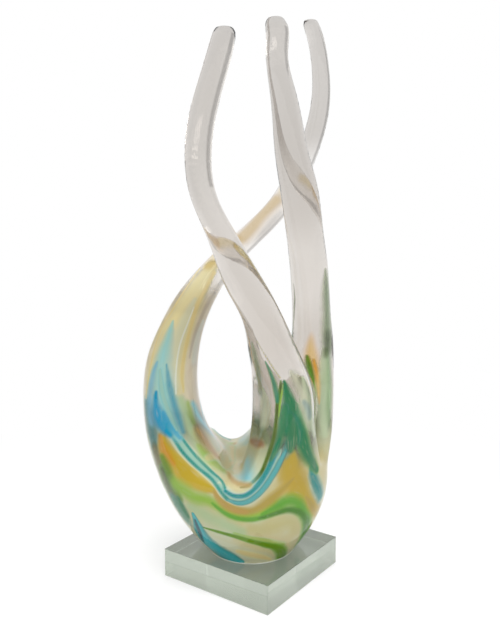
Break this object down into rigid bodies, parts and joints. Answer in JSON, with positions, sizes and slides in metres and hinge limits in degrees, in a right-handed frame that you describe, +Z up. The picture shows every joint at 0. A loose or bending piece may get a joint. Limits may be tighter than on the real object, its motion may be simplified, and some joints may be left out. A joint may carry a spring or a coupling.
{
  "type": "glass wave sculpture",
  "caption": "Free-standing art-glass sculpture: a cased, colour-swirled bowl drawn out into twisting clear arms, bonded to a square clear glass block.",
  "frame": {"origin": "centre of the block's underside, on the surface that it stands on", "axes": "+Z up; X and Y along the block's edges; the wide face of the drawn glass is turned 36 degrees about +Z from X, so its pictured front looks towards +X and -Y"},
  "size_m": [0.1258, 0.1175, 0.392],
  "materials": {
    "block_glass": "polished",
    "bond": "clear cured adhesive",
    "clear_glass": "fire-polished",
    "cream_glass": "opal glass, cased",
    "green_glass": "streaked glass, cased",
    "amber_glass": "streaked glass, cased",
    "blue_glass": "streaked glass, cased"
  },
  "bodies": {
    "root": {"base_block": "block_glass", "bond_film": "bond", "bowl_casing": "clear_glass", "bowl_core": "clear_glass", "cream_foot_band": "cream_glass", "lower_green_band": "green_glass", "cream_belly_band": "cream_glass", "upper_green_band": "green_glass", "amber_band": "amber_glass", "blue_rim_band": "blue_glass", "left_arm": "clear_glass", "centre_arm": "clear_glass", "right_arm": "clear_glass", "green_flame": "green_glass", "amber_flame": "amber_glass", "gold_flame": "amber_glass", "blue_flame": "blue_glass"}
  },
  "joints": []
}
